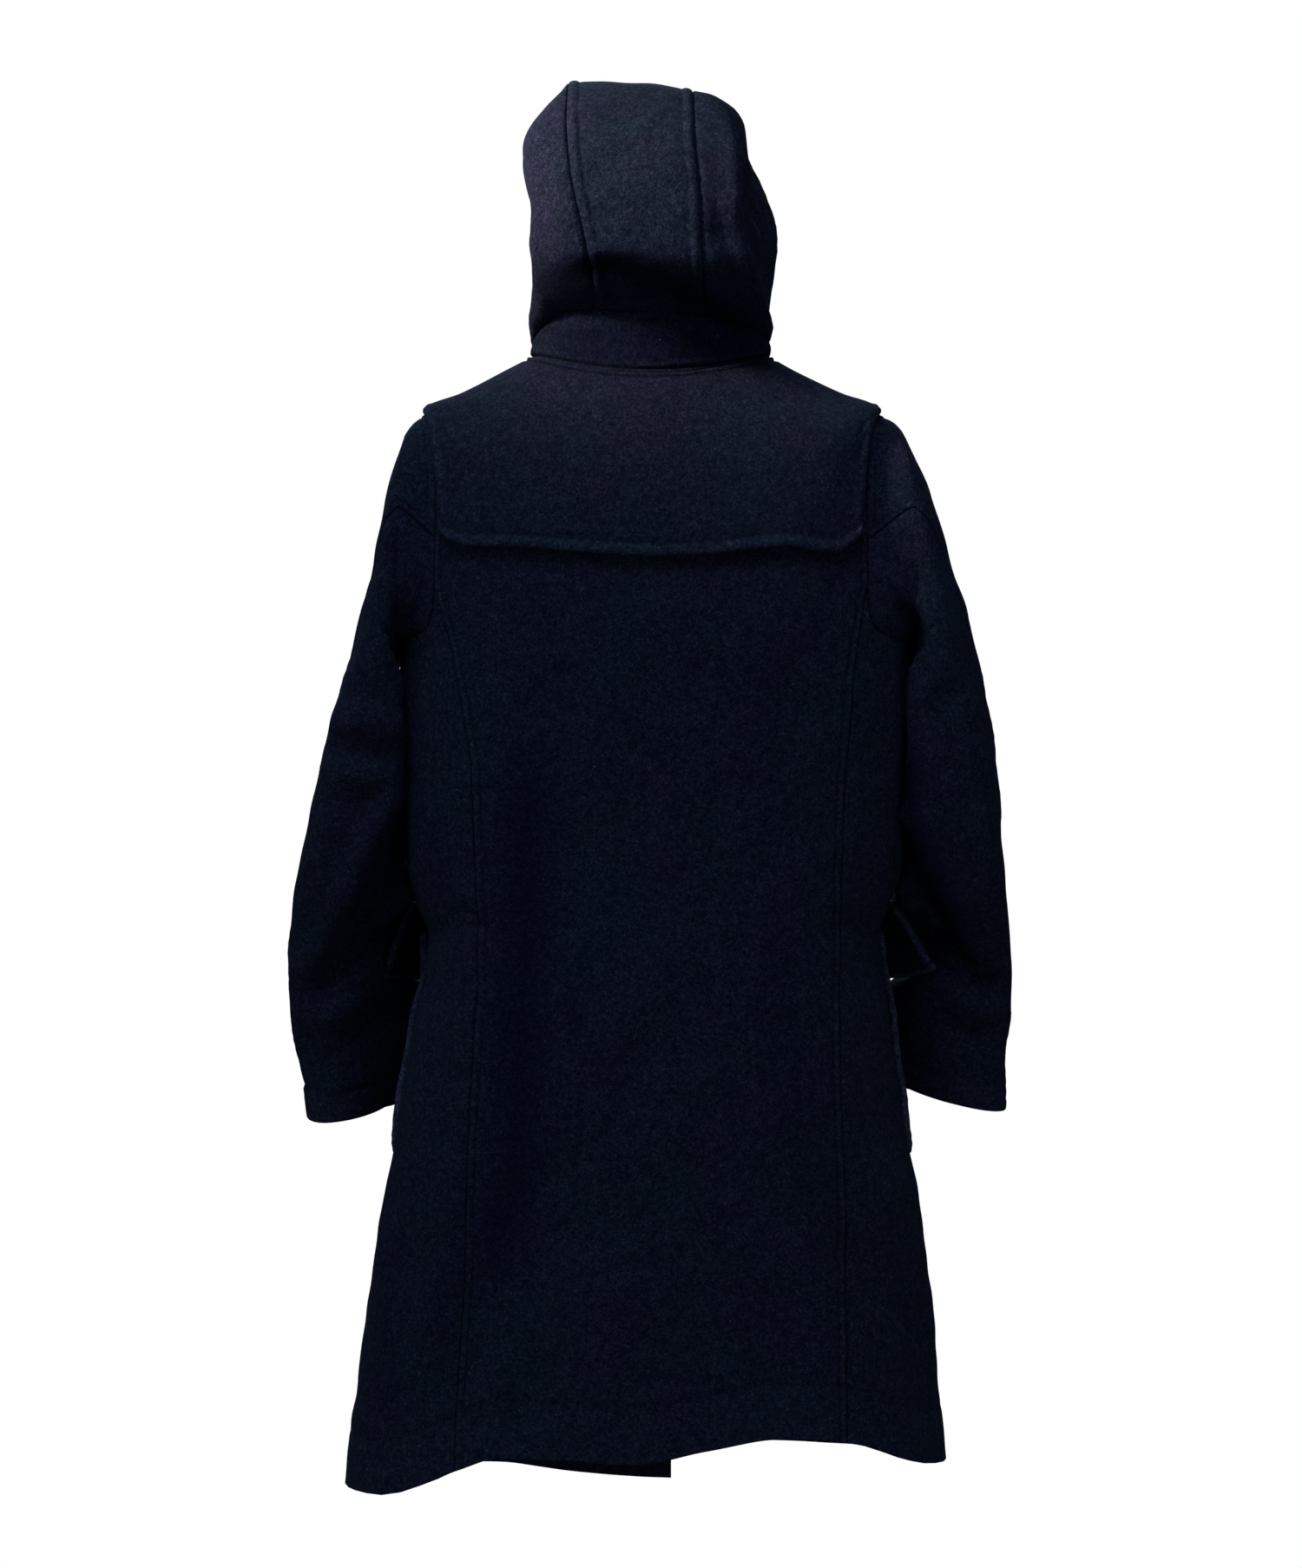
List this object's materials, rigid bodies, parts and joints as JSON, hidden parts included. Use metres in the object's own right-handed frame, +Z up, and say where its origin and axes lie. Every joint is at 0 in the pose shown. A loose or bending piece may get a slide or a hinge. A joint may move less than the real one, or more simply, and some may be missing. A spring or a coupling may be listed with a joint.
{
  "type": "duffle coat",
  "caption": "Long hooded duffle coat in heavy wool, filled out as if worn, with a shoulder yoke, two-piece sleeves, flapped patch pockets and toggle fastenings.",
  "frame": {"origin": "middle of the neck base, where the coat rests on the wearer's shoulders", "axes": "+Z up, -Y to the wearer's front, +X to the wearer's left"},
  "size_m": [0.6173, 0.2882, 1.2036],
  "materials": {
    "wool": "dark navy heavy napped wool, matt",
    "patch_leather": "dark brown, satin",
    "cord": "dark twisted cord, matt",
    "horn": "turned dark horn, smooth"
  },
  "bodies": {
    "root": {"back": "wool", "side_back_left": "wool", "side_back_right": "wool", "front_left": "wool", "front_right": "wool", "yoke": "wool", "sleeve_left_upper": "wool", "sleeve_left_under": "wool", "sleeve_right_upper": "wool", "sleeve_right_under": "wool", "hood_stand": "wool", "hood_centre": "wool", "hood_left": "wool", "hood_right": "wool", "pocket_left": "wool", "pocket_right": "wool", "pocket_flap_left": "wool", "pocket_flap_right": "wool", "patch_left_1": "patch_leather", "patch_right_1": "patch_leather", "patch_left_2": "patch_leather", "patch_right_2": "patch_leather", "patch_left_3": "patch_leather", "patch_right_3": "patch_leather", "patch_left_4": "patch_leather", "patch_right_4": "patch_leather", "loop_1": "cord", "tie_1": "cord", "loop_2": "cord", "tie_2": "cord", "loop_3": "cord", "tie_3": "cord", "loop_4": "cord", "tie_4": "cord", "toggle_1": "horn", "toggle_2": "horn", "toggle_3": "horn", "toggle_4": "horn"}
  },
  "joints": []
}
